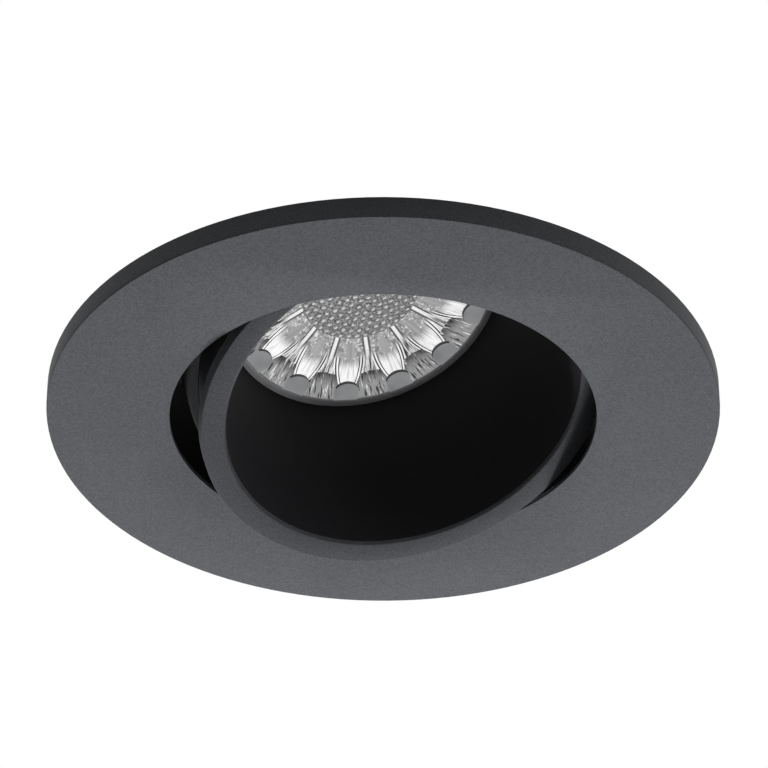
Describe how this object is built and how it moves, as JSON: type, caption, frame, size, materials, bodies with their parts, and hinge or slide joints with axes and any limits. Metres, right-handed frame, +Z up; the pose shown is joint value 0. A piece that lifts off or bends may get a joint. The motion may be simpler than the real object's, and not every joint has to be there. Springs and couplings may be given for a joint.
{
  "type": "recessed soffit downlight",
  "caption": "Round recessed soffit downlight with a deep black baffle; the lamp head tilts and swivels in a flat flange held by sprung wire clips.",
  "frame": {"origin": "on the axis of the cut-out, in the plane where the flange gasket meets the soffit", "axes": "+Z up into the soffit; the lamp head aims down and towards -Y; the hinge axis lies along X"},
  "size_m": [0.09, 0.1386, 0.0667],
  "materials": {
    "charcoal_coat": "die cast, textured charcoal powder coat",
    "black_coat": "die cast, matt black coat",
    "matt_black": "spun, deep matt black",
    "grey_ring": "moulded, satin grey",
    "clear_optic": "clear moulded acrylic",
    "foam": "closed cell foam",
    "silicone": "grey silicone",
    "rubber_seal": "black rubber",
    "sleeve_rubber": "black sleeve",
    "nylon": "natural nylon",
    "gland_nylon": "black nylon",
    "white_moulding": "white moulding",
    "board": "white coated board",
    "phosphor": "yellow phosphor",
    "thermal_film": "graphite film",
    "spring_steel": "bright spring wire",
    "zinc_steel": "zinc plated"
  },
  "bodies": {
    "fixed_frame": {"bezel": "charcoal_coat", "ceiling_gasket": "foam", "glide_ring": "nylon", "wave_washer": "spring_steel", "snap_ring": "spring_steel", "spring_pins": "zinc_steel", "pin_clips": "spring_steel"},
    "swivel": {"swivel_ring": "black_coat", "pivot_screws": "zinc_steel"},
    "lamp_head": {"pivot_bushes": "nylon", "lamp_housing": "black_coat", "front_rim": "charcoal_coat", "baffle": "matt_black", "lens_ring": "grey_ring", "lens_gasket": "silicone", "lens": "clear_optic", "lens_holder": "white_moulding", "cob_holder": "white_moulding", "cob_board": "board", "emitter": "phosphor", "thermal_pad": "thermal_film", "cob_screws": "zinc_steel", "housing_gasket": "silicone", "heat_sink": "black_coat", "heat_sink_screws": "zinc_steel", "gland_body": "gland_nylon", "gland_seal": "rubber_seal", "gland_nut": "gland_nylon"},
    "front_spring": {"front_spring_clip": "spring_steel", "front_spring_sleeve": "sleeve_rubber"},
    "rear_spring": {"rear_spring_clip": "spring_steel", "rear_spring_sleeve": "sleeve_rubber"}
  },
  "joints": [
    {"name": "head_swivel", "type": "hinge", "parent": "fixed_frame", "child": "swivel", "pos_m": [0, 0, 0], "axis": [0, 0, 1], "range_deg": [-175, 175]},
    {"name": "head_tilt", "type": "hinge", "parent": "swivel", "child": "lamp_head", "pos_m": [0, 0, 0.0089], "axis": [-1, 0, 0], "range_deg": [-20, 5]},
    {"name": "front_spring_fold", "type": "hinge", "parent": "fixed_frame", "child": "front_spring", "pos_m": [0, -0.034, 0.0176], "axis": [-1, 0, 0], "range_deg": [0, 108], "stiffness_Nm_per_rad": 0.15, "springref_deg": -57.3},
    {"name": "rear_spring_fold", "type": "hinge", "parent": "fixed_frame", "child": "rear_spring", "pos_m": [0, 0.034, 0.0176], "axis": [1, 0, 0], "range_deg": [0, 108], "stiffness_Nm_per_rad": 0.15, "springref_deg": -57.3}
  ]
}
